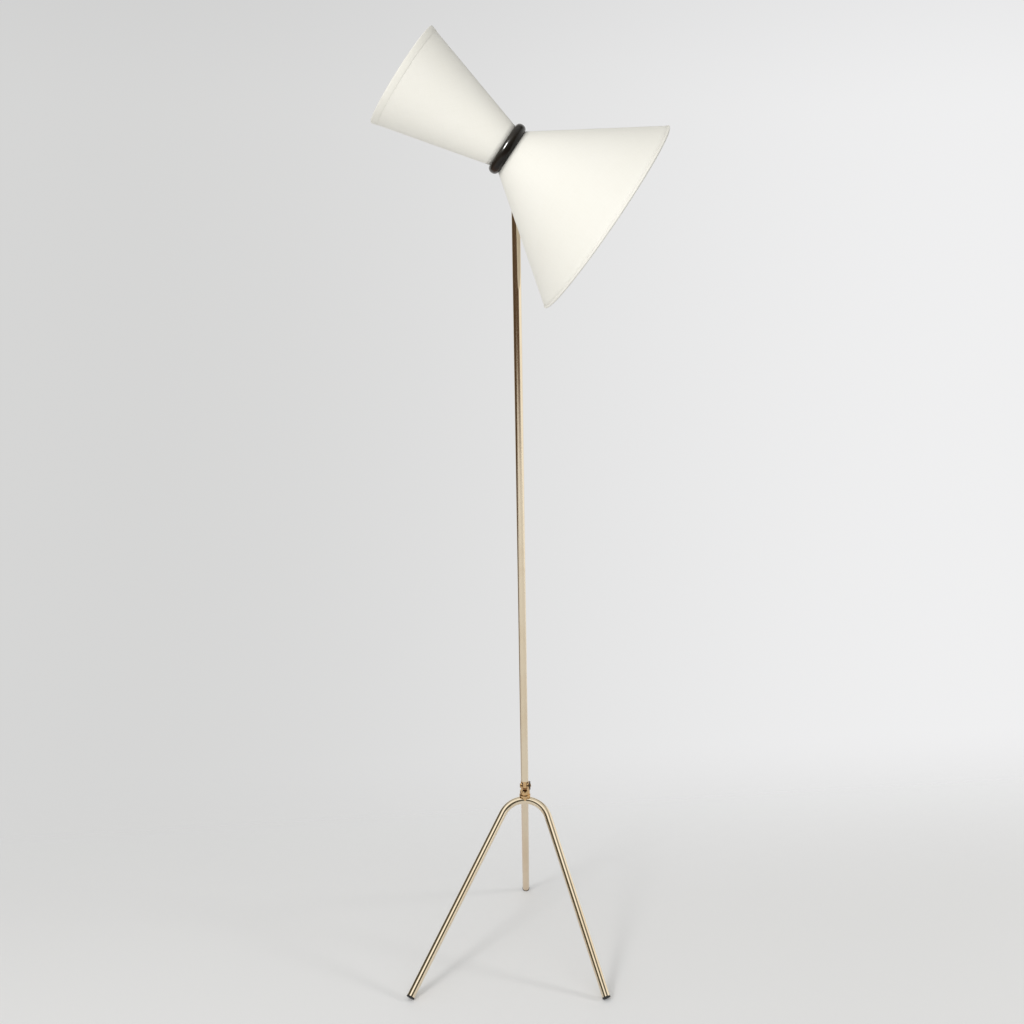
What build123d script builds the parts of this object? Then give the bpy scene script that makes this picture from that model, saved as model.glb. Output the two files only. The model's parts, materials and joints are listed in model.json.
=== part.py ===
from build123d import *
import math
import os

# Tripod floor lamp with a double cone shade. Millimetres, +Z up, the front of
# the lamp faces -Y, and the floor is Z = 0.

# ---- driving dimensions -------------------------------------------------
tube_d = 15.0              # every brass tube
tube_wall = 1.0
crown_x = 16.0             # highest point of the bent front frame, on plan
crown_y = 108.0
crown_z = 304.4            # height of the tube's centreline there
crown_bend_r = 49.0
foot_front_y = -126.0      # both front feet, where the centrelines meet the floor
foot_left_x = -204.0
foot_right_x = 170.0
foot_rear_x = 21.4
foot_rear_y = 345.6
tip_head_t = 3.0           # rubber shown below a tube's end
tip_round = 1.0
sole_bite = 1.0            # how far a tip's lowest corner is flattened by the floor
tip_proud = 0.3
tip_spigot = 12.0

pin_rise = 23.1            # knuckle pin above the top of the crown's tube
sideways_lean = 0.98       # degrees, the knuckle stands this far out of plumb
forward_lean = 10.0        # degrees, the stem's lean towards the front at rest
stem_length = 1245.4       # knuckle pin to the shade's tilt axis, along the stem
collar_d = 22.0
collar_h = 5.0
fork_base_d = 20.0
fork_base_h = 9.9
fork_spigot_d = 8.0
cheek_t = 3.4
cheek_r = 8.5
tongue_t = 7.0
tongue_r = 7.6
washer_t = 0.85
bolt_d = 6.0
bolt_head_d = 8.4
bolt_head_t = 2.0
bolt_past_nut = 1.0
wing_span = 19.0
wing_hub_d = 9.0
wing_nut_t = 3.4
wing_round = 1.4

pan_rest = 3.5             # degrees, the head's turn about the stem at rest
shade_dip = 35.0           # degrees, the big cone's dip below square to the stem
head_offset = 8.0          # tilt axis beside the stem's axis
head_reach = 79.0          # ring centre in front of the stem's axis
post_d = 9.0
rod_d = 10.0
rod_stud_d = 6.0
block_front = 12.0
block_rear = 10.0
block_half_h = 10.0
skirt_d = 20.0
knob_d = 16.0
thumb_d = 12.0
thumb_shank_d = 5.0

ring_major_r = 36.7        # black joining ring, a torus
ring_minor_r = 9.3
skin_t = 1.2
small_neck_r = 37.4
small_rim_r = 90.3
small_length = 206.6       # ring centre to rim
big_neck_r = 39.5
big_rim_r = 178.4
big_length = 197.4
hem_width = 11.0
hem_t = 0.6
edge_width = 3.0
wire_d = 3.0
holder_r = 19.5
holder_bore_r = 13.9
bulb_r = 30.0

run_fit = 0.05             # radial, a turning shaft in its bore
face_gap = 0.1             # flat faces that slide on each other

tube_r = tube_d / 2
bore_r = tube_r - tube_wall
parts = {}


def ring(outer_r, inner_r, height):
    """A flat ring standing on Z = 0."""
    base = Cylinder(outer_r, height, align=(Align.CENTER, Align.CENTER, Align.MIN))
    return base - Cylinder(inner_r, height, align=(Align.CENTER, Align.CENTER, Align.MIN))


def rod(radius, start, end):
    """A round bar on the Z axis between two heights."""
    bar = Cylinder(radius, end - start, align=(Align.CENTER, Align.CENTER, Align.MIN))
    return Pos(0, 0, start) * bar


def along_x(shape):
    return Rot(0, 90, 0) * shape


def along_y(shape):
    return Rot(-90, 0, 0) * shape


def box(x0, x1, y0, y1, z0, z1):
    corner = (Align.MIN, Align.MIN, Align.MIN)
    return Pos(x0, y0, z0) * Box(x1 - x0, y1 - y0, z1 - z0, align=corner)


def turned(points):
    """A piece turned about Z from (radius, height) points."""
    outline = Polyline(*[(r, 0, z) for r, z in points], close=True)
    return revolve(make_face(outline), Axis.Z, 360)


def knurled(radius, start, end, teeth, depth):
    """A round grip on the Z axis with straight flutes cut round it."""
    grip = rod(radius, start, end)
    grip = chamfer(grip.edges().filter_by(GeomType.CIRCLE), 0.8)
    flute = rod(depth, start - 1, end + 1)
    for i in range(teeth):
        grip = grip - Rot(0, 0, 360 * i / teeth) * Pos(radius + depth * 0.35, 0, 0) * flute
    return grip


def ring_tube(major_r, minor_r):
    """A closed round-section ring whose seam stays away from its equators."""
    section = Plane.XZ * Pos(major_r, 0, 0) * Rot(0, 0, 50) * Circle(minor_r)
    return Rot(0, 0, 25) * revolve(section, Axis.Z, 360)


def largest(shape):
    return max(shape.solids(), key=lambda s: s.volume)


def keep(name, shape):
    parts[name] = shape


# ---- the bent front frame -----------------------------------------------
frame_rise = math.hypot(crown_y - foot_front_y, crown_z)
frame_plane = Plane(
    origin=(0, foot_front_y, 0),
    x_dir=(1, 0, 0),
    z_dir=(0, -crown_z, crown_y - foot_front_y),
)
bend_centre = (crown_x, frame_rise - crown_bend_r)


def leg_tangent(foot_x, side):
    """Where a front leg meets the crown's bend, in the frame's plane."""
    dx = crown_x - foot_x
    dy = bend_centre[1]
    reach = math.hypot(dx, dy)
    lean = math.atan2(abs(dx), dy) - math.asin(crown_bend_r / reach)
    x = bend_centre[0] + side * crown_bend_r * math.cos(lean)
    y = bend_centre[1] + crown_bend_r * math.sin(lean)
    return (x, y), lean


left_tangent, left_lean = leg_tangent(foot_left_x, -1)
right_tangent, right_lean = leg_tangent(foot_right_x, 1)


def on_frame(point):
    return frame_plane.from_local_coords(Vector(point[0], point[1], 0))


crown_point = on_frame((crown_x, frame_rise))
left_foot = on_frame((foot_left_x, 0))
right_foot = on_frame((foot_right_x, 0))
rear_foot = Vector(foot_rear_x, foot_rear_y, 0)


def tube_end(foot, towards):
    """A tube's end: square to the leg, as near the floor as its rubber tip allows."""
    direction = (towards - foot).normalized()
    lean = math.sqrt(1 - direction.Z ** 2)
    reach = ((tube_r + tip_proud) * lean - sole_bite) / direction.Z
    return foot + direction * (reach + tip_head_t)


left_top = on_frame(left_tangent)
right_top = on_frame(right_tangent)
left_end = tube_end(left_foot, left_top)
right_end = tube_end(right_foot, right_top)
rear_end = tube_end(rear_foot, crown_point)

frame_path = Line(left_end, left_top)
frame_path = frame_path + ThreePointArc(left_top, crown_point, right_top)
frame_path = frame_path + Line(right_top, right_end)
section_plane = Plane(origin=left_end, z_dir=(left_top - left_end))
frame_solid = sweep(section_plane * Circle(tube_r), path=frame_path)
frame_void = sweep(section_plane * Circle(bore_r), path=frame_path)

# ---- the knuckle's own frame, at the pin ---------------------------------
pin_up = tube_r + pin_rise
knuckle = Pos(crown_x, crown_y, crown_z + pin_up) * Rot(0, -sideways_lean, 0)
stem_frame = knuckle * Rot(forward_lean, 0, 0)
collar_top = -pin_up + tube_r + collar_h
collar_foot = collar_top - collar_h
spigot_foot = -pin_up - 1.0
fork_base_top = collar_top + fork_base_h

spigot_hole = knuckle * rod(fork_spigot_d / 2, spigot_foot, collar_top)
keep("front_frame_tube", frame_solid - frame_void - spigot_hole)

rear_plane = Plane(origin=rear_end, z_dir=(crown_point - rear_end))
rear_length = (crown_point - rear_end).length
rear_tube = rear_plane * ring(tube_r, bore_r, rear_length)
keep("rear_leg_tube", largest(rear_tube - frame_solid))


def foot_tip(foot, end):
    """A rubber tip with a plug in the tube's end and a small flat worn by the floor."""
    back = (end - foot).normalized()
    tip_plane = Plane(origin=end, z_dir=back)
    head = rod(tube_r + tip_proud, -tip_head_t, 0)
    body = tip_plane * fillet(head.edges().sort_by(Axis.Z)[0:1], tip_round)
    plug = tip_plane * rod(bore_r, 0, tip_spigot)
    sole = Pos(foot.X, foot.Y, 0) * box(-60, 60, -60, 60, 0, 120)
    return (body & sole) + plug


keep("foot_tip_left", foot_tip(left_foot, left_end))
keep("foot_tip_right", foot_tip(right_foot, right_end))
keep("foot_tip_rear", foot_tip(rear_foot, rear_end))

# ---- crown collar, fork and its clamp bolt --------------------------------
saddle = rod(tube_r, -pin_up, collar_foot) + rod(collar_d / 2, collar_foot, collar_top)
saddle = saddle - rod(fork_spigot_d / 2, -pin_up - 1, collar_top + 1)
rear_solid = rear_plane * rod(tube_r, 0, rear_length)
keep("crown_collar", largest(knuckle * saddle - frame_solid - rear_solid))

slot_half = tongue_t / 2 + face_gap + washer_t
cheek_outer = slot_half + cheek_t
fork = rod(fork_base_d / 2, collar_top, fork_base_top)
fork = fork + rod(fork_spigot_d / 2, spigot_foot, collar_top)
for side in (-1, 1):
    inner = min(side * slot_half, side * cheek_outer)
    cheek = box(inner, inner + cheek_t, -cheek_r, cheek_r, collar_top + 1, 0)
    cheek = cheek & rod(fork_base_d / 2, collar_top, 1)
    cheek = cheek + along_x(rod(cheek_r, inner, inner + cheek_t))
    fork = fork + cheek
flat_foot = -wing_span / 2 - 0.8
for side in (-1, 1):
    near = side * cheek_outer
    far = side * fork_base_d
    fork = fork - box(min(near, far), max(near, far), -fork_base_d, fork_base_d, flat_foot, cheek_r)
fork = fork - along_x(rod(bolt_d / 2, -cheek_outer - 1, cheek_outer + 1))
keep("knuckle_fork", knuckle * fork)

pads = []
for side in (-1, 1):
    inner = min(side * slot_half, side * (slot_half - washer_t))
    pads.append(knuckle * along_x(Pos(0, 0, inner) * ring(tongue_r - 0.6, bolt_d / 2, washer_t)))
keep("friction_washers", Compound(pads))

nut_face = cheek_outer + face_gap
bolt_end = nut_face + wing_nut_t + bolt_past_nut
head = rod(bolt_head_d / 2, -cheek_outer - bolt_head_t, -cheek_outer)
head = chamfer(head.edges().sort_by(Axis.Z)[0:1], 0.6)
head = head - box(-0.6, 0.6, -6, 6, -cheek_outer - 3, -cheek_outer - bolt_head_t + 0.9)
bolt = head + rod(bolt_d / 2, -cheek_outer, bolt_end)
keep("knuckle_bolt", knuckle * along_x(bolt))

nut = rod(wing_hub_d / 2, nut_face, nut_face + wing_nut_t)
for side in (-1, 1):
    wing = box(min(0, side * wing_span / 2), max(0, side * wing_span / 2), -1.1, 1.1,
               nut_face + 0.4, nut_face + wing_nut_t)
    wing_edges = wing.edges().filter_by(Axis.Y).sort_by(Axis.X)
    wing_edges = wing_edges[2:4] if side > 0 else wing_edges[0:2]
    wing = fillet(wing_edges, wing_round)
    nut = nut + wing
nut = nut - rod(bolt_d / 2 + run_fit, nut_face - 1, nut_face + wing_nut_t + 1)
keep("wing_nut", knuckle * along_x(Rot(0, 0, 12) * nut))

# ---- stem -----------------------------------------------------------------
shoulder = tongue_r + 2.4
tube_foot = shoulder + 2.0
post_top = -8.0
flange_top = -26.0
flange_t = 3.0
stem_top = stem_length + flange_top - flange_t
tongue = box(-tongue_t / 2, tongue_t / 2, -tongue_r, tongue_r, 0, shoulder)
tongue = tongue & rod(tube_r, 0, shoulder)
tongue = tongue + along_x(rod(tongue_r, -tongue_t / 2, tongue_t / 2))
tongue = tongue + rod(tube_r, shoulder, tube_foot) + rod(bore_r, tube_foot, tube_foot + 22)
tongue = tongue - along_x(rod(bolt_d / 2 + run_fit, -tongue_t, tongue_t))
keep("knuckle_tongue", stem_frame * tongue)

grommet_z = 62.0
grommet_hole = Pos(0, 0, grommet_z) * along_y(rod(4.0, bore_r - 2, tube_r + 3))
stem = Pos(0, 0, tube_foot) * ring(tube_r, bore_r, stem_top - tube_foot)
keep("stem_tube", stem_frame * (stem - grommet_hole))

grommet = along_y(rod(5.6, 0, tube_r + 1.6)) - rod(tube_r, -20, 20)
grommet = largest(grommet) + (along_y(rod(4.0, 0, tube_r + 1.0)) - rod(bore_r - 1.2, -20, 20))
grommet = grommet - along_y(rod(2.6, 0, tube_r + 5))
keep("cable_grommet", stem_frame * Pos(0, 0, grommet_z) * largest(grommet))

head_frame = stem_frame * Pos(0, 0, stem_length) * Rot(0, 0, -pan_rest)
post = rod(bore_r, flange_top - flange_t - 20, flange_top - flange_t)
post = post + rod(9.0, flange_top - flange_t, flange_top)
post = post + rod(post_d / 2, flange_top, post_top)
post = post - (rod(post_d, -20.5, -14.5) - rod(post_d / 2 - 1.2, -21, -14))
post = post - rod(2.2, flange_top - 30, post_top - 12)
keep("stem_head_post", head_frame * post)

# ---- swivel block ------------------------------------------------------------
block = box(-head_offset - 10, 10, -block_front, block_rear, -block_half_h, block_half_h)
block = fillet(block.edges().filter_by(Axis.Y), 5.0)
block = chamfer(block.faces().sort_by(Axis.Y)[0].edges(), 0.8)
block = block + rod(skirt_d / 2, flange_top + face_gap, -block_half_h + 2)
block = block - rod(post_d / 2 + run_fit, flange_top - 1, post_top + 0.4)
tilt_bore = Pos(-head_offset, 0, 0) * along_y(rod(rod_d / 2 + run_fit, -40, 40))
thumb_z = -17.5
thumb_bore = Pos(0, 0, thumb_z) * along_y(rod(thumb_shank_d / 2 + run_fit, 0, 20))
keep("swivel_block", head_frame * (block - tilt_bore - thumb_bore))

thumb = rod(thumb_shank_d / 2, post_d / 2 - 1.0, skirt_d / 2 + 1.2)
thumb = thumb + knurled(thumb_d / 2, skirt_d / 2 + 0.8, skirt_d / 2 + 8.8, 20, 0.7)
keep("pan_thumbscrew", head_frame * Pos(0, 0, thumb_z) * along_y(thumb))

# ---- the shade's frame: +Z points out of the big cone, +Y to the stem --------
shade_frame = head_frame * Pos(-head_offset, -head_reach, 0) * Rot(0, 90 + shade_dip, 0)
ring_in = ring_major_r - ring_minor_r
ring_out = ring_major_r + ring_minor_r
front_stop = head_reach - block_front - face_gap
rear_stop = head_reach + block_rear + face_gap
stub_d = 8.0
torus = ring_tube(ring_major_r, ring_minor_r)
torus = torus - along_y(rod(rod_d / 2, ring_in - 5, ring_out + 5))
keep("shade_ring", shade_frame * torus)

arm = rod(rod_d / 2, ring_in + 0.5, rear_stop - 0.6)
arm = arm + rod(7.5, ring_out - 0.6, ring_out + 3) + rod(7.5, front_stop - 3.5, front_stop)
arm = arm + rod(stub_d / 2, 16, ring_in + 1) + rod(rod_stud_d / 2, rear_stop - 1, rear_stop + 14)
arm = arm - rod(2.0, 10, front_stop - 6)
core = rod(rod_d / 2, ring_in + 0.5, ring_out + 1) - rod(2.0, 10, front_stop - 6)
arm = along_y(arm) - ring_tube(ring_major_r, ring_minor_r) + along_y(core)
keep("tilt_arm", shade_frame * arm)

tilt_washer = along_y(Pos(0, 0, rear_stop) * ring(7.0, rod_stud_d / 2, 1.2))
keep("tilt_washer", shade_frame * tilt_washer)

knob_face = rear_stop + 1.2 + face_gap
knob = knurled(knob_d / 2, knob_face, knob_face + 9.5, 24, 0.8)
knob = knob - rod(rod_stud_d / 2 + run_fit, knob_face - 1, knob_face + 12)
keep("tilt_knob", shade_frame * along_y(knob))

bar_t = 3.0
bar = box(-8, 8, -ring_in - 6, ring_in + 6, -bar_t / 2, bar_t / 2)
bar = bar + box(-7, 7, 13.5, ring_in + 6, -6.5, 6.5)
bar = bar - ring_tube(ring_major_r, ring_minor_r)
bar = largest(bar & rod(ring_major_r - 5, -20, 20))
bar = bar - rod(5.0, -20, 20) - along_y(rod(stub_d / 2, 12, 60))
bar = bar - along_y(rod(rod_d / 2, ring_in + 0.5, 60))
keep("cross_bar", shade_frame * bar)

nipple = ring(5.0, 3.8, 23)
keep("lampholder_nipple", shade_frame * Pos(0, 0, -11.5) * nipple)

locknuts = []
for side in (-1, 1):
    hexagon = extrude(RegularPolygon(7.5, 6), 2.4) - rod(5.0, -1, 4)
    base = bar_t / 2 if side > 0 else -bar_t / 2 - 2.4
    locknuts.append(shade_frame * Pos(0, 0, base) * hexagon)
keep("nipple_locknuts", Compound(locknuts))

# ---- one end of the shade: holder, bulb, gallery, wires and skin --------------
holder_points = [
    (5.0, 4.0), (11.0, 4.0), (14.0, 7.0), (15.0, 15.0), (holder_r, 18.0), (holder_r, 46.0),
    (17.0, 48.0), (holder_bore_r, 48.0), (holder_bore_r, 24.0), (5.0, 24.0),
]
cap_points = [
    (0.0, 24.0), (5.5, 24.0), (5.5, 25.6), (12.6, 28.0), (13.2, 29.5), (13.2, 49.5),
    (12.4, 49.5), (12.4, 31.0), (0.0, 31.0),
]
glass_outside = [
    (12.4, 46.5), (12.4, 50.0), (14.0, 52.0), (15.0, 60.0), (18.5, 71.0), (24.0, 82.0),
    (28.4, 94.0), (bulb_r, 105.0), (29.4, 114.0), (26.4, 122.0), (21.0, 129.0),
    (13.0, 133.6), (5.0, 135.4), (0.0, 135.6),
]
glass_inside = [
    (0.0, 134.4), (4.8, 134.2), (12.5, 132.4), (20.3, 128.0), (25.5, 121.4), (28.3, 113.7),
    (bulb_r - 1.1, 105.0), (27.3, 94.3), (23.0, 82.5), (17.5, 71.5), (13.9, 60.3),
    (12.9, 52.6), (11.3, 50.5), (11.3, 46.5),
]
gallery_z = 22.0


def shade_end(tag, neck_r, rim_r, length, flip):
    """All the pieces of one cone; flip turns it to the small side."""
    to_place = shade_frame * Rot(flip, 0, 0)
    neck_z = ring_minor_r + 0.05
    slope = math.atan2(rim_r - neck_r, length - neck_z)
    inset = skin_t / math.cos(slope)

    def outer(z):
        return neck_r + (z - neck_z) * math.tan(slope)

    skin = turned([
        (outer(neck_z), neck_z), (outer(length), length),
        (outer(length) - inset, length), (outer(neck_z) - inset, neck_z),
    ])
    keep(f"shade_{tag}_skin", to_place * skin)

    wire_r = wire_d / 2
    reach = inset + wire_r / math.cos(slope)
    rim_z = length - wire_r - 0.4
    neck_wire_z = neck_z + wire_r
    neck_wire_r = outer(neck_wire_z) - reach
    keep(f"rim_wire_{tag}", to_place * Pos(0, 0, rim_z) * Torus(outer(rim_z) - reach, wire_r))

    gallery = Pos(0, 0, gallery_z) * ring(24.0, holder_r + 0.2, 2.0)
    start = Vector(22.5, 0, gallery_z + 1)
    stop = Vector(neck_wire_r, 0, neck_wire_z)
    spoke_plane = Plane(origin=start, z_dir=stop - start)
    spoke = spoke_plane * Cylinder(1.3, (stop - start).length,
                                   align=(Align.CENTER, Align.CENTER, Align.MIN))
    for i in range(3):
        gallery = gallery + Rot(0, 0, 30 + 120 * i) * spoke
    gallery = gallery + Pos(0, 0, neck_wire_z) * Torus(neck_wire_r, wire_r)
    gallery = gallery - rod(holder_r + 0.2, 10, 40)
    keep(f"gallery_{tag}", to_place * gallery)

    clamp = Pos(0, 0, gallery_z + 2.0) * ring(23.5, holder_r, 5.0)
    keep(f"shade_clamp_ring_{tag}", to_place * clamp)
    holder = turned(holder_points) + Pos(0, 0, gallery_z - 2.0) * ring(21.2, holder_r - 1, 2.0)
    keep(f"lampholder_{tag}", to_place * holder)
    keep(f"bulb_cap_{tag}", to_place * turned(cap_points))
    keep(f"bulb_glass_{tag}", to_place * turned(glass_outside + glass_inside))
    return to_place, outer, slope


small_place, small_outer, small_slope = shade_end(
    "small", small_neck_r, small_rim_r, small_length, 180)
big_place, big_outer, big_slope = shade_end("big", big_neck_r, big_rim_r, big_length, 0)


def binding(outer, slope, length, width, thick):
    """A strip of tape bound round the outside of a rim."""
    out = thick / math.cos(slope)
    start = length - width * math.cos(slope)
    return turned([
        (outer(start), start), (outer(start) + out, start),
        (outer(length) + out, length), (outer(length), length),
    ])


hem = binding(small_outer, small_slope, small_length, hem_width, hem_t)
keep("small_rim_binding", small_place * hem)
edge = binding(big_outer, big_slope, big_length, edge_width, hem_t)
keep("big_rim_binding", big_place * edge)

# ---- write the files ------------------------------------------------------------
os.makedirs("parts", exist_ok=True)
for name, shape in parts.items():
    export_step(shape, f"parts/{name}.step")
print(len(parts), "nodes")
whole = Compound(list(parts.values())).bounding_box()
print("box", whole.min, whole.max)
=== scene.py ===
# %% [markdown]
# # A tripod floor lamp with a double cone shade
#
# The engineering model is loaded first, as a fixed frame: every tube, knuckle, knob and bulb is already
# in its place. This notebook then gives each piece the surface it has on a real lamp. Where the frame's
# own mesh is right, it only gets a finish and soft edges. Where the real thing has more shape than a
# machine part, such as bound fabric rims, ribbed lampholders or screw threads, a new mesh stands for it.

# %% Load the frame
import json
import math

import bmesh
import bpy
from mathutils import Matrix, Vector


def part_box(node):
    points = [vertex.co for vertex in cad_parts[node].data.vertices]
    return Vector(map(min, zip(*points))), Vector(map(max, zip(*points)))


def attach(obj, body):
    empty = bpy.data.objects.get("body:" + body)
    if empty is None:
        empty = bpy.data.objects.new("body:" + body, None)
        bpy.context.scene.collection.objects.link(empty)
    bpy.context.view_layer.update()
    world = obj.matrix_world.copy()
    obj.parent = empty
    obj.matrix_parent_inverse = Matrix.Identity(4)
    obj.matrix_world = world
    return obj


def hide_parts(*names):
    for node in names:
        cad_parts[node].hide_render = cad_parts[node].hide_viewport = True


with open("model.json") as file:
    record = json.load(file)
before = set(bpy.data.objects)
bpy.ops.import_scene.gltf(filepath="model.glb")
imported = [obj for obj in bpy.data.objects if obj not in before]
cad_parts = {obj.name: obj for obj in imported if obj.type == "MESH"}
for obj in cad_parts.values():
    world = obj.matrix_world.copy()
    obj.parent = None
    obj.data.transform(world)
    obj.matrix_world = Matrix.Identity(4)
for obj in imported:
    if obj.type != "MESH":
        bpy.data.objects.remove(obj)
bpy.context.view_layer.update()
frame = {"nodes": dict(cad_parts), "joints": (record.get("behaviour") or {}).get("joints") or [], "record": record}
nodes = frame["nodes"]
mm = 0.001

# %% [markdown]
# ## Where things are
#
# The joints of the frame say where the lamp turns, so they also give each group of pieces its own set
# of axes. The shade has one with Z out of the big cone and Y towards the stem, and the small cone uses
# the same one turned over. Working in those axes keeps every profile a plain list of radius and height.


# %% Axes of the two ends of the shade
def joint(name):
    return next(j for j in frame["joints"] if j["name"] == name)


def middle(node):
    low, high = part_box(node)
    return (low + high) / 2


def axes_at(origin, z_axis, y_axis):
    """A placing matrix with its Z along z_axis and its Y as near y_axis as it can be."""
    z = z_axis.normalized()
    x = y_axis.cross(z).normalized()
    y = z.cross(x)
    turn = Matrix((x, y, z)).transposed().to_4x4()
    return Matrix.Translation(origin) @ turn


ring_centre = Vector(joint("shade_tilt")["pos_m"])
to_stem = Vector(joint("shade_tilt")["axis"])
knuckle_pin = Vector(joint("stem_tilt")["pos_m"])
head_point = Vector(joint("head_pan")["pos_m"])
big_end = axes_at(ring_centre, middle("rim_wire_big") - ring_centre, to_stem)
small_end = big_end @ Matrix.Rotation(math.pi, 4, "X")
stem_reach = (head_point - knuckle_pin).length
print("ring centre", [round(v, 3) for v in ring_centre], "stem", round(stem_reach, 3))

# %% [markdown]
# ## Shader maths written as Python
#
# A finish is a small network of nodes. Drawing it by hand hides the arithmetic, so one class wraps a
# socket and lets plain expressions such as `weave * 0.4 + dirt` build the Math nodes. A second class
# holds one material, and its `node` method makes any other node from its settings and its inputs.


# %% Sockets that take part in sums
class Signal:
    """A number that varies over a surface: the output socket of a node."""

    def __init__(self, tree, socket):
        self.tree = tree
        self.socket = socket

    def maths(self, operation, *values, clamp=False):
        made = self.tree.nodes.new("ShaderNodeMath")
        made.operation = operation
        made.use_clamp = clamp
        for slot, value in zip(made.inputs, values):
            plug(self.tree, slot, value)
        return Signal(self.tree, made.outputs[0])

    def __add__(self, other):
        return self.maths("ADD", self, other)

    __radd__ = __add__

    def __sub__(self, other):
        return self.maths("SUBTRACT", self, other)

    def __rsub__(self, other):
        return self.maths("SUBTRACT", other, self)

    def __mul__(self, other):
        return self.maths("MULTIPLY", self, other)

    __rmul__ = __mul__

    def clamped(self):
        return self.maths("ADD", self, 0.0, clamp=True)


def plug(tree, slot, value):
    """Links a signal to an input, or writes a plain value in it."""
    if isinstance(value, Signal):
        tree.links.new(value.socket, slot)
    else:
        slot.default_value = value


class Finish:
    """One material: its node tree and its main shader."""

    def __init__(self, name, **constants):
        self.material = bpy.data.materials.new(name)
        self.material.use_nodes = True
        self.tree = self.material.node_tree
        self.shader = self.tree.nodes["Principled BSDF"]
        self.set(**constants)

    def set(self, **values):
        for name, value in values.items():
            plug(self.tree, self.shader.inputs[name.replace("_", " ")], value)

    def node(self, kind, settings=None, output=0, **values):
        made = self.tree.nodes.new("ShaderNode" + kind)
        for name, value in (settings or {}).items():
            if name == "stops":
                ramp(made.color_ramp, value)
            else:
                setattr(made, name, value)
        for name, value in values.items():
            key = int(name[1:]) if name[0] == "_" else name.replace("_", " ")
            plug(self.tree, made.inputs[key], value)
        return Signal(self.tree, made.outputs[output])

    def place(self, name="Object", scale=(1, 1, 1), turn=(0, 0, 0)):
        where = self.node("TexCoord", output=name)
        return self.node("Mapping", Vector=where, Scale=scale, Rotation=turn)

    def noise(self, vector, scale, detail=3.0, roughness=0.5, distortion=0.0):
        return self.node("TexNoise", Vector=vector, Scale=scale, Detail=detail, Roughness=roughness,
                         Distortion=distortion)

    def mix(self, factor, first, second, blend="MIX"):
        made = self.tree.nodes.new("ShaderNodeMix")
        made.data_type = "RGBA"
        made.blend_type = blend
        plug(self.tree, made.inputs[0], factor)
        plug(self.tree, made.inputs[6], first)
        plug(self.tree, made.inputs[7], second)
        return Signal(self.tree, made.outputs[2])

    def spread(self, signal, low, high, to_low=0.0, to_high=1.0):
        return self.node("MapRange", Value=signal, From_Min=low, From_Max=high, To_Min=to_low,
                         To_Max=to_high)

    def bump(self, height, distance, strength=1.0):
        self.set(Normal=self.node("Bump", Height=height, Distance=distance, Strength=strength))


def ramp(colour_ramp, stops):
    """Gives a colour ramp its stops, as (position, colour) pairs."""
    for (position, colour), i in zip(stops, range(len(stops))):
        if i < 2:
            stop = colour_ramp.elements[i]
        else:
            stop = colour_ramp.elements.new(position)
        stop.position = position
        stop.color = colour


def rgb(red, green, blue):
    return (red, green, blue, 1.0)


print("shader helpers ready")

# %% [markdown]
# ## Brass
#
# The tubes are polished brass under a thin clear lacquer. Handling leaves faint clouds where the polish
# is duller, and where the lacquer has worn the metal has gone a little browner. The clouds change
# colour and roughness together, as real tarnish does, and a few dark specks sit where lacquer is
# pitted. The small turned pieces are the same metal, more handled: browner, and a little less bright.
# The wing nut gets a much darker brass finish all over.


# %% Brass finishes
def brass_finish(name, bright, aged, dull, grain_scale):
    """Lacquered brass: dull is its lowest roughness, grain_scale the size of the polishing marks."""
    finish = Finish(name, Metallic=1.0, Coat_Roughness=0.05)
    where = finish.place("Object")
    clouds = finish.noise(where, 7.0, 5.0, 0.6, 0.4)
    specks = finish.noise(where, 210.0, 2.0, 0.7)
    grain = finish.noise(where, grain_scale, 3.0, 0.6)
    worn = finish.spread(clouds, 0.45, 0.75).clamped()
    pits = finish.spread(specks, 0.72, 0.80).clamped()
    tint = finish.mix(worn, bright, aged)
    finish.set(Base_Color=finish.mix(pits * 0.45, tint, rgb(0.25, 0.15, 0.07)))
    finish.set(Roughness=worn * 0.08 + pits * 0.2 + grain * 0.05 + dull)
    finish.set(Coat_Weight=0.30 - worn * 0.2)
    finish.bump(grain * 0.5 + pits * -1.0, 0.00002, 0.2)
    return finish.material


champagne = rgb(0.83, 0.715, 0.54)
honey = rgb(0.75, 0.605, 0.42)
tube_brass = brass_finish("drawn_brass", champagne, honey, 0.09, 900.0)
turned_brass = brass_finish("turned_brass", rgb(0.66, 0.44, 0.22), rgb(0.42, 0.25, 0.11), 0.14, 1400.0)
dark_wing = brass_finish("dark_wing", rgb(0.15, 0.11, 0.08), rgb(0.07, 0.05, 0.04), 0.30, 1400.0)
print("brass:", tube_brass.name, turned_brass.name, dark_wing.name)

# %% [markdown]
# ## Ivory shade fabric
#
# The cones are a fine plain weave laminated on a stiff sheet. The cone is rolled from one flat piece, so
# the threads run straight on the flat pattern and curve over the cone. The skin mesh carries that flat
# pattern as its UV map, in metres, so the weave below is written at its true pitch. Each thread goes
# over and under in turn, which is one product of two waves, and slubs make some threads a bit thicker.


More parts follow.
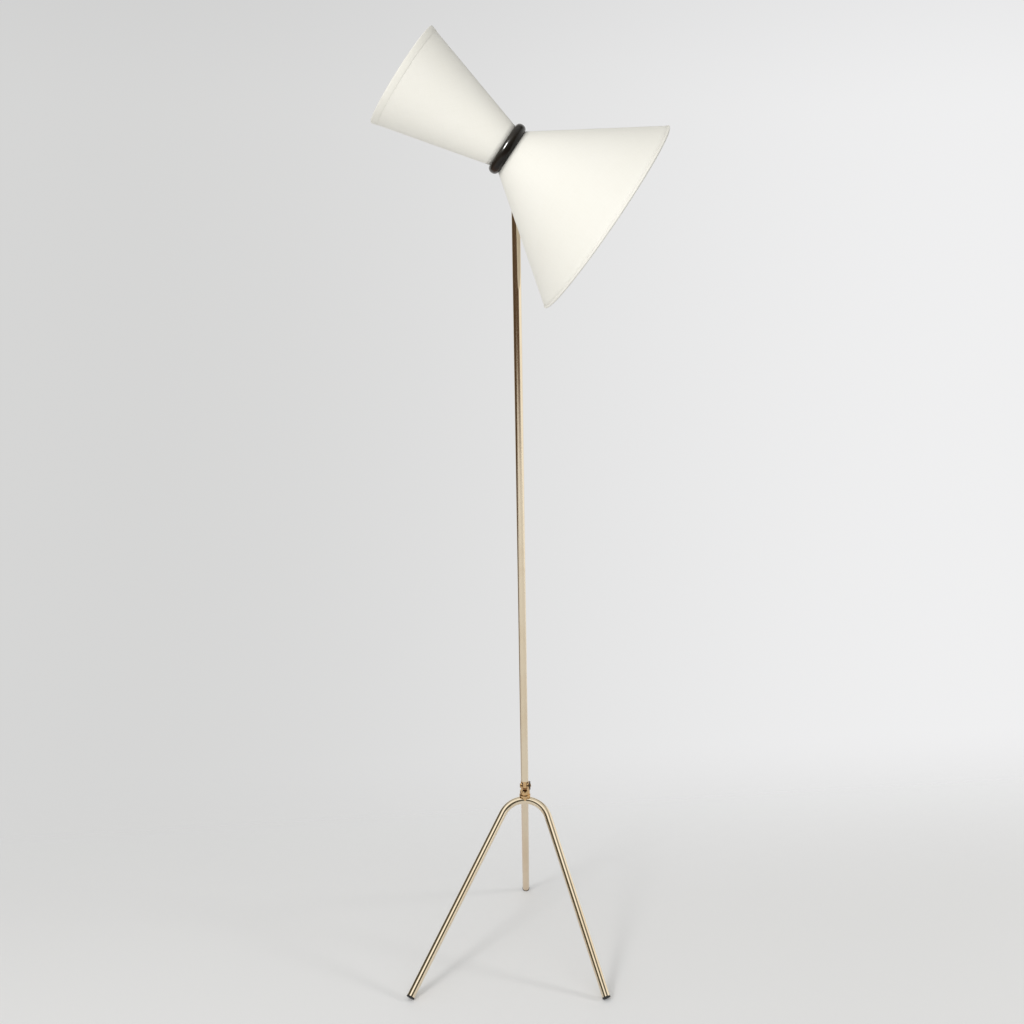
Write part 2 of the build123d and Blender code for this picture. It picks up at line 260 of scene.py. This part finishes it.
# %% Fabric finishes
def woven_finish(name, light, shade, pitch, slub, depth):
    """Plain weave on a UV map in metres, pitch being the distance between threads."""
    finish = Finish(name, Sheen_Weight=0.12, Sheen_Roughness=0.5, Specular_IOR_Level=0.25)
    flat = finish.place("UV")
    turns = 2 * math.pi / pitch
    drift = finish.noise(flat, 60.0, 2.0) * 0.5
    u = finish.node("SeparateXYZ", output=0, Vector=flat)
    v = finish.node("SeparateXYZ", output=1, Vector=flat)
    warp = u.maths("SINE", u * turns + drift)
    weft = v.maths("SINE", v * turns + drift)
    over = u.maths("SINE", u * (turns / 2)) * v.maths("SINE", v * (turns / 2))
    thread = (warp.maths("ABSOLUTE", warp) + weft.maths("ABSOLUTE", weft)) * 0.5 + over * 0.35
    thick_warp = finish.noise(finish.place("UV", (1.0, 0.03, 1.0)), slub, 3.0, 0.7)
    thick_weft = finish.noise(finish.place("UV", (0.03, 1.0, 1.0)), slub, 3.0, 0.7)
    slubs = finish.spread(thick_warp + thick_weft, 0.95, 1.45).clamped()
    age = finish.noise(finish.place("Object"), 7.0, 4.0, 0.55)
    tone = finish.mix(finish.spread(age, 0.35, 0.75).clamped() * 0.6, light, shade)
    # The gaps between the threads are painted darker: painted shade in the hollows of the weave.
    tone = finish.mix((0.75 - thread * 0.5).clamped() * 0.22, tone, rgb(0.62, 0.58, 0.48))
    finish.set(Base_Color=finish.mix(slubs * 0.18, tone, rgb(0.70, 0.66, 0.56)))
    finish.set(Roughness=0.92 - thread * 0.08)
    finish.bump(thread + slubs * 0.8, depth, 0.5)
    return finish.material


ivory = rgb(0.892, 0.878, 0.825)
ivory_fabric = woven_finish("ivory_weave", ivory, rgb(0.868, 0.850, 0.785), 0.00052, 900.0, 0.00012)
ivory_tape = woven_finish("ivory_tape", rgb(0.882, 0.866, 0.808), rgb(0.855, 0.835, 0.77), 0.00038, 700.0,
                          0.00010)
print("fabric:", ivory_fabric.name, ivory_tape.name)

# %% [markdown]
# ## Black ring, rubber, mouldings and wire
#
# The joining ring is polished black: nearly no colour, a sharp coat and a few hairlines. The rubber tips
# are the opposite, dull with a fine moulded texture and pale dust. The lampholders are a dark brown-black
# thermoset with a faint marbling, and the wire gallery is white lacquer over steel.


# %% Dark finishes
def polished_black():
    finish = Finish("polished_black", IOR=1.28, Coat_Roughness=0.16)
    where = finish.place()
    hairlines = finish.spread(finish.noise(finish.place("Object", (1.0, 0.04, 0.3)), 700.0, 3.0), 0.62, 0.7)
    bloom = finish.noise(where, 26.0, 4.0)
    finish.set(Base_Color=finish.mix(finish.spread(bloom, 0.4, 0.8).clamped() * 0.5,
                                     rgb(0.0035, 0.0028, 0.0022), rgb(0.009, 0.007, 0.005)))
    finish.set(Roughness=bloom * 0.10 + hairlines.clamped() * 0.15 + 0.20)
    finish.set(Coat_Weight=0.20 - bloom * 0.15)
    finish.bump(bloom, 0.00012, 0.2)
    return finish.material


def moulded_rubber():
    finish = Finish("moulded_rubber", IOR=1.5)
    where = finish.place()
    grain = finish.noise(where, 1800.0, 4.0, 0.7)
    dust = finish.spread(finish.noise(where, 120.0, 4.0, 0.65), 0.5, 0.75).clamped()
    finish.set(Base_Color=finish.mix(dust * 0.35, rgb(0.016, 0.016, 0.017), rgb(0.11, 0.10, 0.09)))
    finish.set(Roughness=dust * 0.2 + 0.62)
    finish.bump(grain, 0.00015, 0.4)
    return finish.material


def marbled_moulding():
    finish = Finish("marbled_moulding", IOR=1.55)
    where = finish.place()
    veins = finish.noise(where, 45.0, 6.0, 0.6, 1.6)
    fine = finish.noise(where, 900.0, 2.0)
    finish.set(Base_Color=finish.mix(finish.spread(veins, 0.45, 0.6).clamped(),
                                     rgb(0.020, 0.012, 0.009), rgb(0.060, 0.028, 0.016)))
    finish.set(Roughness=fine * 0.12 + 0.26)
    finish.bump(fine, 0.00005, 0.2)
    return finish.material


black_ring = polished_black()
rubber = moulded_rubber()
moulding = marbled_moulding()
print("dark:", black_ring.name, rubber.name, moulding.name)


# %% Light finishes
def lacquered_wire():
    finish = Finish("white_lacquer", IOR=1.5, Coat_Roughness=0.15)
    where = finish.place()
    peel = finish.noise(where, 420.0, 3.0)
    grime = finish.spread(finish.noise(where, 70.0, 4.0, 0.6), 0.5, 0.8).clamped()
    finish.set(Base_Color=finish.mix(grime * 0.5, rgb(0.86, 0.85, 0.80), rgb(0.66, 0.62, 0.52)))
    finish.set(Roughness=peel * 0.15 + 0.22, Coat_Weight=0.5 - grime * 0.3)
    finish.bump(peel, 0.00006, 0.3)
    return finish.material


def plated_steel():
    finish = Finish("zinc_plate", Metallic=1.0)
    where = finish.place()
    spangle = finish.node("TexVoronoi", Vector=where, Scale=260.0)
    wear = finish.noise(where, 150.0, 4.0)
    finish.set(Base_Color=finish.mix(wear, rgb(0.60, 0.60, 0.58), rgb(0.47, 0.46, 0.43)))
    finish.set(Roughness=spangle * 0.12 + wear * 0.15 + 0.24)
    finish.bump(wear + spangle * 0.4, 0.00004, 0.3)
    return finish.material


def pressed_fibre():
    finish = Finish("pressed_fibre", IOR=1.45)
    strands = finish.noise(finish.place("Object", (1.0, 1.0, 0.2)), 1500.0, 4.0, 0.7)
    finish.set(Base_Color=finish.mix(strands, rgb(0.30, 0.09, 0.05), rgb(0.16, 0.045, 0.03)))
    finish.set(Roughness=strands * 0.2 + 0.55)
    finish.bump(strands, 0.0001, 0.4)
    return finish.material


def opal_glass():
    finish = Finish("opal_glass", IOR=1.5, Subsurface_Weight=0.0, Coat_Weight=0.6, Coat_Roughness=0.03)
    where = finish.place()
    cloud = finish.noise(where, 60.0, 3.0)
    finish.set(Base_Color=finish.mix(cloud, rgb(0.90, 0.89, 0.86), rgb(0.84, 0.83, 0.80)))
    finish.set(Roughness=cloud * 0.08 + 0.14)
    return finish.material


def rolled_metal():
    finish = Finish("rolled_cap_metal", Metallic=1.0)
    where = finish.place()
    handling = finish.noise(where, 320.0, 4.0)
    finish.set(Base_Color=finish.mix(handling, rgb(0.80, 0.79, 0.76), rgb(0.62, 0.60, 0.55)))
    finish.set(Roughness=handling * 0.2 + 0.18)
    finish.bump(handling, 0.00003, 0.2)
    return finish.material


white_wire = lacquered_wire()
zinc = plated_steel()
fibre = pressed_fibre()
opal = opal_glass()
cap_metal = rolled_metal()
print("light:", white_wire.name, zinc.name, fibre.name, opal.name, cap_metal.name)

# %% [markdown]
# ## Turning a profile
#
# Most of a lamp is round, so most new pieces start as a profile of radius and height that a spin sweeps
# round an axis. `spun` does that in the piece's own axes, and `put` then moves the vertices to their
# place, so the object itself stays at the origin. `rounded` softens corners in the profile beforehand.


# %% A lathe
def finished(name, bm, material, body, sharp=35.0, replaces=()):
    """Turns a bmesh into a piece of the lamp that rides on a body of the frame."""
    mesh = bpy.data.meshes.new(name)
    bm.to_mesh(mesh)
    bm.free()
    mesh.materials.append(material)
    mesh.shade_smooth()
    mesh.set_sharp_from_angle(angle=math.radians(sharp))
    piece = bpy.data.objects.new(name, mesh)
    bpy.context.scene.collection.objects.link(piece)
    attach(piece, body)
    if replaces:
        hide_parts(*replaces)
    return piece


def spun(profile, steps=96, closed=False):
    """A bmesh swept round Z from (radius, height) points in millimetres."""
    bm = bmesh.new()
    rim = [bm.verts.new((r * mm, 0, z * mm)) for r, z in profile]
    pairs = list(zip(rim, rim[1:]))
    if closed:
        pairs.append((rim[-1], rim[0]))
    edges = [bm.edges.new(pair) for pair in pairs]
    bmesh.ops.spin(bm, geom=rim + edges, cent=(0, 0, 0), axis=(0, 0, 1), angle=2 * math.pi,
                   steps=steps, use_merge=True)
    bmesh.ops.remove_doubles(bm, verts=bm.verts, dist=1e-7)
    bmesh.ops.recalc_face_normals(bm, faces=bm.faces)
    return bm


def rounded(profile, radius, steps=3):
    """The same profile with each inner corner replaced by a short arc."""
    out = [profile[0]]
    for before, corner, after in zip(profile, profile[1:], profile[2:]):
        c = Vector(corner)
        a = Vector(before) - c
        b = Vector(after) - c
        cut = min(radius, a.length * 0.45, b.length * 0.45)
        start = c + a.normalized() * cut
        stop = c + b.normalized() * cut
        for i in range(steps + 1):
            t = i / steps
            p = start * (1 - t) ** 2 + c * 2 * t * (1 - t) + stop * t ** 2
            out.append((p.x, p.y))
    return out + [profile[-1]]


def put(bm, place):
    bmesh.ops.transform(bm, matrix=place, verts=bm.verts)
    return bm


def round_size(node, place):
    """Low and high ends of a round node in its own axes, with its outer radius at each, in mm."""
    back = place.inverted()
    points = [back @ v.co for v in nodes[node].data.vertices]
    low = min(p.z for p in points)
    high = max(p.z for p in points)
    near = 0.0002
    at_low = max(p.xy.length for p in points if p.z < low + near)
    at_high = max(p.xy.length for p in points if p.z > high - near)
    return low / mm, high / mm, at_low / mm, at_high / mm


print("big cone", [round(v, 1) for v in round_size("shade_big_skin", big_end)])
print("small cone", [round(v, 1) for v in round_size("shade_small_skin", small_end)])

# %% [markdown]
# ## The two cones
#
# A cone shade is one flat sector of fabric rolled up, with its ends lapped and glued along a line that
# faces away from the room. The skin is spun, the flat pattern is written in its UV map so the threads
# run as they would on the cut sheet, and a Solidify modifier gives it the sheet's thickness. The lap is
# a narrow strip laid over the skin on the side of the stem.

# %% Cone skins with their lap seams
sheet_t = 1.2
lap_width = 7.0
lap_t = 0.5
lap_lift = 0.05
lap_from_neck = 6.0
lap_from_rim = 4.0
cone_rows = 24
lap_rows = 40
cone_steps = 192


def cone_numbers(node, place):
    low, high, neck_r, rim_r = round_size(node, place)
    slope = math.atan2(rim_r - neck_r, high - low)
    return low, high, neck_r, rim_r, slope


def flat_pattern(bm, slope, apex):
    """Writes the unrolled cone in the UV map, in metres."""
    uv = bm.loops.layers.uv.new("flat_pattern")
    for face in bm.faces:
        centre = face.calc_center_median()
        middle_angle = math.atan2(centre.x, -centre.y)
        for loop in face.loops:
            p = loop.vert.co
            angle = math.atan2(p.x, -p.y)
            angle += 2 * math.pi * round((middle_angle - angle) / (2 * math.pi))
            reach = (p.z - apex) / math.cos(slope)
            flat = angle * math.sin(slope)
            loop[uv].uv = (reach * math.sin(flat), reach * math.cos(flat))


def face_outwards(bm):
    """Turns an open sheet round the axis so that its faces look away from the axis."""
    outward = sum(f.normal.dot(Vector((*f.calc_center_median().xy, 0))) for f in bm.faces)
    if outward < 0:
        bmesh.ops.reverse_faces(bm, faces=bm.faces)


def cone_skin(tag, place):
    node = f"shade_{tag}_skin"
    low, high, neck_r, rim_r, slope = cone_numbers(node, place)
    profile = [(neck_r + (rim_r - neck_r) * i / cone_rows, low + (high - low) * i / cone_rows)
               for i in range(cone_rows + 1)]
    bm = spun(profile, cone_steps)
    apex = (low - neck_r / math.tan(slope)) * mm
    flat_pattern(bm, slope, apex)
    face_outwards(bm)
    skin = finished(node + "_fabric", put(bm, place), ivory_fabric, "shade", 60.0, [node])
    cloth = skin.modifiers.new("sheet", "SOLIDIFY")
    cloth.thickness = sheet_t * mm
    cloth.offset = -1.0
    return skin


def cone_lap(tag, place):
    """The lap: a strip of one width up the cone, on the side that faces the stem."""
    low, high, neck_r, rim_r, slope = cone_numbers(f"shade_{tag}_skin", place)
    start = low + lap_from_neck
    stop = high - lap_from_rim
    bm = bmesh.new()
    bmesh.ops.create_grid(bm, x_segments=4, y_segments=lap_rows, size=0.5)
    side = 1 if place is big_end else -1
    for v in bm.verts:
        z = start + (stop - start) * (v.co.y + 0.5)
        across = v.co.x * lap_width
        r = neck_r + (z - low) * math.tan(slope) + lap_lift
        angle = across / r
        v.co = Vector((r * math.sin(angle), side * r * math.cos(angle), z)) * mm
    flat_pattern(bm, slope, (low - neck_r / math.tan(slope)) * mm)
    bmesh.ops.recalc_face_normals(bm, faces=bm.faces)
    face_outwards(bm)
    strip = finished(f"shade_{tag}_lap", put(bm, place), ivory_fabric, "shade", 60.0, ())
    cloth = strip.modifiers.new("sheet", "SOLIDIFY")
    cloth.thickness = lap_t * mm
    cloth.offset = 1.0
    return strip


for tag, place in (("big", big_end), ("small", small_end)):
    skin = cone_skin(tag, place)
    strip = cone_lap(tag, place)
    print(skin.name, len(skin.data.polygons), "faces;", strip.name, len(strip.data.polygons))

# %% [markdown]
# ## Bound rims
#
# The raw edge of each cone is folded over a wire and bound with tape. On the small cone the tape shows
# as an even band outside; on the big one only a thin roll shows. In section the binding is a hook: flat
# outside, round over the wire, flat again inside. One closed section is spun for each rim.

# %% Rim bindings
tape_t = 0.6
wire_r = 1.5


def rim_section(outside, inside):
    """The hook of tape as (along the cone, out of the cone) points, in mm from the rim's edge."""
    wire_s = -wire_r - 0.4
    wire_n = -sheet_t - wire_r
    roll = wire_r + tape_t
    bend = [(wire_s + roll * math.cos(a), wire_n + roll * math.sin(a))
            for a in (math.radians(d) for d in range(0, -141, -20))]
    outer = [(-outside - 0.5, -0.3), (-outside - 0.25, 0.12), (-outside + 0.15, tape_t * 0.8),
             (-outside + 0.6, tape_t), (-1.0, tape_t), (-0.45, tape_t * 0.93), (-0.05, tape_t * 0.6),
             (0.22, tape_t * 0.1), (0.35, -sheet_t * 0.6), (0.35, -sheet_t - 0.6)]
    inner = [(-inside * 0.62, -sheet_t - tape_t - 0.5), (-inside, -sheet_t - tape_t),
             (-inside - 0.4, -sheet_t + 0.3), (-0.9, -sheet_t + 0.4), (-0.9, -0.35)]
    return outer + bend + inner


def rim_binding(tag, place, outside, inside):
    node = f"shade_{tag}_skin"
    low, high, neck_r, rim_r, slope = cone_numbers(node, place)
    section = [(rim_r + s * math.sin(slope) + n * math.cos(slope),
                high + s * math.cos(slope) - n * math.sin(slope))
               for s, n in rim_section(outside, inside)]
    bm = spun(section, cone_steps, closed=True)
    flat_pattern(bm, slope, (low - neck_r / math.tan(slope)) * mm)
    return finished(f"{tag}_rim_tape", put(bm, place), ivory_tape, "shade", 50.0,
                    [f"{tag}_rim_binding", f"rim_wire_{tag}"])


hem_outside = 11.0
edge_outside = 3.0
fold_inside = 8.0
for piece in (rim_binding("small", small_end, hem_outside, fold_inside),
              rim_binding("big", big_end, edge_outside, fold_inside)):
    print(piece.name, len(piece.data.polygons), "faces")

# %% [markdown]
# ## The black ring
#
# The two necks meet in a heavy polished ring. It is a torus, but a hand-finished one: the outer face is
# very slightly flattened where it was buffed. A superellipse section gives that in one formula.

# %% Joining ring
ring_flattening = 0.92
low_z, high_z, _, _ = round_size("shade_ring", big_end)
ring_half = (high_z - low_z) / 2
ring_r = max((big_end.inverted() @ v.co).xy.length for v in nodes["shade_ring"].data.vertices) / mm
ring_mid = ring_r - ring_half


def superellipse(half, power, count):
    points = []
    for i in range(count):
        a = 2 * math.pi * i / count
        c, s = math.cos(a), math.sin(a)
        points.append((half * math.copysign(abs(c) ** power, c), half * math.copysign(abs(s) ** power, s)))
    return points


ring_section = [(ring_mid + x, y) for x, y in superellipse(ring_half, ring_flattening, 48)]
bm = put(spun(ring_section, 160, closed=True), big_end)
ring_piece = finished("joining_ring", bm, black_ring, "shade", 60.0, ["shade_ring"])
print("ring", round(2 * ring_r, 1), "mm across,", len(ring_piece.data.polygons), "faces")

# %% [markdown]
# ## Bulbs, their caps and the lampholders
#
# The frame holds these as plain turned solids. Up close a screw cap is rolled sheet with a real helical
# thread, a glass is one smooth curve, and a lampholder has a threaded skirt with grip ribs on the ring
# that clamps the gallery. `rippled` pushes the wall of a turned piece in and out by any formula of angle
# and height, so one helper makes both the helix and the ribs.

# %% Rippled and smooth turned pieces
fade_length = 1.2


def rippled(bm, low, high, ripple):
    """Moves the outer wall between two heights by ripple(angle, height), all in mm."""
    for v in bm.verts:
        z = v.co.z / mm
        reach = v.co.xy.length / mm
        if low < z < high and reach > 1.0:
            fade = min(1.0, (z - low) / fade_length, (high - z) / fade_length)
            grown = 1 + ripple(math.atan2(v.co.y, v.co.x), z) * fade / reach
            v.co.x *= grown
            v.co.y *= grown
    bmesh.ops.recalc_face_normals(bm, faces=bm.faces)
    return bm


def thread(pitch, depth):
    return lambda angle, z: depth / 2 * math.cos(2 * math.pi * z / pitch - angle)


def ribs(count, depth):
    return lambda angle, z: -depth * max(0.0, math.cos(count * angle)) ** 2


def wall(radius, low, high, step):
    """A straight wall cut into short steps, so that a ripple has points to move."""
    count = max(1, round((high - low) / step))
    return [(radius, low + (high - low) * i / count) for i in range(count + 1)]


def smoothed(points, steps):
    """A smooth curve through the points, with steps pieces between each two."""
    ends = [Vector(p) for p in (points[0], *points, points[-1])]
    curve = []
    for a, b, c, d in zip(ends, ends[1:], ends[2:], ends[3:]):
        for i in range(steps):
            t = i / steps
            p = (b * 2 + (c - a) * t + (a * 2 - b * 5 + c * 4 - d) * t ** 2
                 + (b * 3 - a - c * 3 + d) * t ** 3) / 2
            curve.append((max(p.x, 0.0), p.y))
    return curve + [points[-1]]


# %% Bulb caps, glasses and lampholders
cap_r = 12.9
cap_low, cap_high = 29.5, 49.5
thread_top = 47.5
skirt_low, skirt_high = 30.0, 46.0
holder_r, holder_bore = 19.5, 13.9
clamp_r, clamp_low, clamp_high = 23.5, 24.0, 29.0
glass_points = [(12.4, 46.5), (12.5, 50.0), (13.4, 54.0), (15.0, 61.0), (18.5, 71.5), (24.0, 83.0),
                (28.4, 94.5), (30.0, 105.0), (29.2, 114.5), (26.2, 122.5), (20.6, 129.6), (12.8, 134.1),
                (5.0, 135.5), (0.0, 135.6)]
holder_low = rounded([(5.0, 4.0), (11.0, 4.0), (14.0, 7.0), (15.0, 15.0), (19.0, 18.0), (holder_r, 20.0),
                      (21.2, 20.0), (21.2, 22.0), (holder_r, 22.0), (holder_r, skirt_low)], 0.8)
holder_top = rounded([(holder_r, skirt_high), (17.6, 48.0), (holder_bore, 48.0),
                      (holder_bore, 24.0), (5.0, 24.0), (5.0, 4.5)], 0.8)


def bulb_and_holder(tag, place):
    foot = rounded([(0.0, 24.0), (5.5, 24.0), (5.5, 25.6), (12.3, 28.2), (cap_r, cap_low)], 0.5)
    lip = [(12.45, cap_high), (12.45, cap_high - 2.0)]
    cap_profile = foot + wall(cap_r, cap_low + 0.4, cap_high, 0.4) + lip
    cap = rippled(spun(cap_profile, 72), cap_low, thread_top, thread(3.6, 0.9))
    glass = spun(smoothed(glass_points, 5), 96)
    skirt = holder_low + wall(holder_r, skirt_low + 0.4, skirt_high - 0.4, 0.38) + holder_top
    holder = rippled(spun(skirt, 96, closed=True), skirt_low, skirt_high - 0.2, thread(2.6, 0.7))
    clamp_middle = (clamp_low + clamp_high) / 2
    ring_profile = rounded([(holder_r, clamp_low), (clamp_r, clamp_low), (clamp_r, clamp_middle),
                            (clamp_r, clamp_high), (holder_r, clamp_high)], 0.7)
    clamp = rippled(spun(ring_profile, 288, closed=True), clamp_low - 1.3, clamp_high + 1.3,
                    ribs(36, 0.8))
    return [finished(f"bulb_cap_{tag}_screw", put(cap, place), cap_metal, "shade", 40.0,
                     [f"bulb_cap_{tag}"]),
            finished(f"bulb_{tag}_glass", put(glass, place), opal, "shade", 60.0,
                     [f"bulb_glass_{tag}"]),
            finished(f"lampholder_{tag}_body", put(holder, place), moulding, "shade", 40.0,
                     [f"lampholder_{tag}"]),
            finished(f"clamp_ring_{tag}_ribbed", put(clamp, place), moulding, "shade", 40.0,
                     [f"shade_clamp_ring_{tag}"])]


for tag, place in (("big", big_end), ("small", small_end)):
    print([f"{piece.name} {len(piece.data.polygons)}" for piece in bulb_and_holder(tag, place)])

# %% [markdown]
# ## Soft edges on the metal
#
# No real edge is perfectly sharp. The frame's mesh is welded where its faces meet and gets a narrow
# bevel, so that each fork cheek, washer and collar catches a thin line of light.

# %% Bevels on the frame's metal
weld_reach = 0.01
edge_round = 0.22
softened = ("crown_collar", "knuckle_fork", "knuckle_tongue", "knuckle_bolt", "swivel_block", "tilt_arm",
            "tilt_washer", "stem_head_post", "cross_bar", "nipple_locknuts", "pan_thumbscrew", "tilt_knob")
for name in softened:
    weld = nodes[name].modifiers.new("weld", "WELD")
    weld.merge_threshold = weld_reach * mm
    bevel = nodes[name].modifiers.new("soft_edges", "BEVEL")
    bevel.width = edge_round * mm
    bevel.segments = 2
    bevel.limit_method = "ANGLE"
    bevel.angle_limit = math.radians(40)
    bevel.harden_normals = True
print(len(softened), "pieces have soft edges")

# %% [markdown]
# ## Finishes for the frame's own pieces
#
# Tubes, fork, swivel and knobs already have their true shape, so they keep their mesh and take a finish
# by name. Looking the finish up from the frame's own material slot means no piece can be missed. Only
# the wing nut, darker than the other turned brass, is named on its own.

# %% Finishes by slot
finish_of_slot = {
    "brass_tube": tube_brass, "turned_brass": turned_brass, "black_rubber": rubber,
    "black_gloss": black_ring, "ivory_fabric": ivory_fabric, "ivory_tape": ivory_tape,
    "white_wire": white_wire, "zinc_steel": zinc, "dark_moulding": moulding, "fibre": fibre,
    "bulb_metal": cap_metal, "bulb_glass": opal,
}
finish_of_node = {"wing_nut": dark_wing}
for entry in frame["record"]["subparts"]:
    node = nodes[entry["node"]]
    material = finish_of_node.get(entry["node"], finish_of_slot[entry["material_slot"]])
    if not node.data.materials:
        node.data.materials.append(material)
    for slot_number in range(len(node.data.materials)):
        node.data.materials[slot_number] = material
print(len(nodes), "nodes have a finish")

# %% [markdown]
# ## Floor, light and camera
#
# The lamp stands on a plain pale floor in a soft studio. Brass is a mirror, so its look is mostly the
# look of the room. The world therefore answers three kinds of rays: the camera sees a pale wall, painted
# lighter towards the right and a little darker high up (painted light and shade), fabric gets an even soft
# light, and polished metal sees a room with a dark far end in front, a bright ceiling and a bright right
# side. One soft key at the front left gives the cones their shape, a second light only touches the black
# ring, and two more only fall on the floor, to draw the legs' shadows. The floor fades out at its edges, so
# that it meets the wall without a line.

# %% Floor
floor_middle = Vector((0.2, -0.75, 0.0))
floor_turn = math.radians(8.67)
floor_half = Vector((2.8, 2.0))
floor_fade = 1.2
bm = bmesh.new()
bmesh.ops.create_grid(bm, x_segments=1, y_segments=1, size=1.0)
bmesh.ops.scale(bm, vec=(floor_half.x, floor_half.y, 1.0), verts=bm.verts)
to_floor = Matrix.Translation(floor_middle) @ Matrix.Rotation(floor_turn, 4, "Z")
bmesh.ops.transform(bm, matrix=to_floor, verts=bm.verts)
floor_finish = Finish("studio_floor", Roughness=0.55, Specular_IOR_Level=0.3)
floor_cloud = floor_finish.noise(floor_finish.place(), 1.1, 3.0)
floor_finish.set(Base_Color=floor_finish.mix(floor_cloud, rgb(0.80, 0.80, 0.805), rgb(0.785, 0.785, 0.79)))
turned = floor_finish.place("Object", turn=(0, 0, -floor_turn))
from_middle = Matrix.Rotation(-floor_turn, 3, "Z") @ floor_middle
inside = 1.0
for i in range(2):
    reach = floor_finish.node("SeparateXYZ", output=i, Vector=turned) - from_middle[i]
    edge = reach.maths("ABSOLUTE", reach)
    inside = floor_finish.node("MapRange", {"interpolation_type": "SMOOTHSTEP"}, Value=edge,
                               From_Min=floor_half[i] - floor_fade, From_Max=floor_half[i], To_Min=1.0,
                               To_Max=0.0) * inside
floor_finish.set(Alpha=inside)
mesh = bpy.data.meshes.new("studio_floor")
bm.to_mesh(mesh)
bm.free()
mesh.materials.append(floor_finish.material)
floor = bpy.data.objects.new("studio_floor", mesh)
bpy.context.scene.collection.objects.link(floor)
print("floor is", [round(v, 2) for v in floor.dimensions])


# %% Surround
class Surround(Finish):
    """The world: colours by direction, built with the same helpers as a material."""

    def __init__(self, name):
        world = bpy.data.worlds.new(name)
        world.use_nodes = True
        bpy.context.scene.world = world
        self.tree = world.node_tree
        self.shader = self.tree.nodes["Background"]
        self.way = self.node("TexCoord", output="Generated")

    def soft_step(self, signal, low, high):
        return self.node("MapRange", {"interpolation_type": "SMOOTHSTEP"}, Value=signal, From_Min=low,
                         From_Max=high)

    def patch(self, azimuth, height, inner, outer):
        """1 inside a round patch of the room, in degrees; azimuth 0 is in front, 90 on the right."""
        a, h = math.radians(azimuth), math.radians(height)
        centre = (math.sin(a) * math.cos(h), -math.cos(a) * math.cos(h), math.sin(h))
        near = self.node("VectorMath", {"operation": "DOT_PRODUCT"}, "Value", _0=self.way, _1=centre)
        return self.soft_step(near, math.cos(math.radians(outer)), math.cos(math.radians(inner)))


room = Surround("studio")
across = room.node("SeparateXYZ", output=0, Vector=room.way)
up = room.node("SeparateXYZ", output=2, Vector=room.way)
# The wall that the camera sees is painted light and shade: lighter towards the right and a little darker high up.
painted_light_backdrop = room.mix(room.soft_step(across, -0.30, 0.36), rgb(0.67, 0.67, 0.665), rgb(0.87, 0.87, 0.875))
painted_light_backdrop = room.mix(room.soft_step(up, 0.10, 0.22) * 0.16, painted_light_backdrop, rgb(0.45, 0.45, 0.46))
warm = room.mix(room.soft_step(up, -0.60, -0.36), rgb(0.52, 0.31, 0.23), rgb(0.095, 0.062, 0.038))
mirrored = room.mix(room.soft_step(up, -0.12, 0.06), warm, rgb(0.085, 0.080, 0.060))
for place, tone in ((room.patch(0, 90, 22, 46), 0.76), (room.patch(-22, 51, 8, 28), 1.30),
                    (room.patch(98, -4, 40, 58), 1.06), (room.patch(178, 0, 30, 52), 0.80)):
    mirrored = room.mix(place, mirrored, rgb(tone, tone * 0.985, tone * 0.95))
even = room.mix(room.soft_step(across, -0.6, 0.9), rgb(0.64, 0.64, 0.625), rgb(0.28, 0.28, 0.275))
even = room.mix(room.patch(-6, 13, 20, 68), even, rgb(1.46, 1.46, 1.44))
seen = room.node("LightPath", output="Is Camera Ray")
glossy = room.node("LightPath", output="Is Glossy Ray")
room.set(Color=room.mix(seen, room.mix(glossy, even, mirrored), painted_light_backdrop), Strength=1.0)


# %% Lights
def soft_light(name, place, target, size, power, tint=(1.0, 0.99, 0.97)):
    data = bpy.data.lights.new(name, "AREA")
    data.shape = "RECTANGLE"
    data.size, data.size_y = size
    data.energy = power
    data.color = tint
    light = bpy.data.objects.new(name, data)
    bpy.context.scene.collection.objects.link(light)
    light.location = place
    light.rotation_euler = (Vector(target) - Vector(place)).to_track_quat("-Z", "Y").to_euler()
    light.visible_camera = False
    light.visible_glossy = False
    return light


def shine_only_on(light, piece):
    only = bpy.data.collections.new(light.name + "_only")
    only.objects.link(piece)
    light.light_linking.receiver_collection = only


key_reach = 2.8
key_way = Vector((-0.52, -0.72, 0.40)).normalized()
soft_light("key", ring_centre + key_way * key_reach, ring_centre, (1.2, 1.5), 12.0)

glint_way = Vector((-0.64, -0.55, 0.515)).normalized()
glint = soft_light("ring_glint", ring_centre + glint_way * key_reach, ring_centre, (0.60, 0.95), 300.0)
glint.visible_glossy = True
shine_only_on(glint, ring_piece)

floor_reach = 4.4
floor_lamp_size = (0.7, 0.7)
for name, way, power in (("floor_left", (-0.40, -0.72, 0.57), 37.0),
                         ("floor_right", (0.87, -0.15, 0.47), 32.0)):
    lamp = soft_light(name, Vector(way) * floor_reach, (0, 0, 0), floor_lamp_size, power)
    shine_only_on(lamp, floor)

# %% Camera
eye = Vector((-0.0096, -2.492, 1.350))
look_down = math.radians(10.0)
camera_data = bpy.data.cameras.new("camera")
camera_data.sensor_width = 36.0
camera_data.lens = 48.0
camera = bpy.data.objects.new("camera", camera_data)
bpy.context.scene.collection.objects.link(camera)
camera.location = eye
camera.rotation_euler = (math.pi / 2 - look_down, 0, 0)
bpy.context.scene.camera = camera
bpy.context.scene.view_settings.view_transform = "Standard"
print("camera at", [round(v, 2) for v in eye])
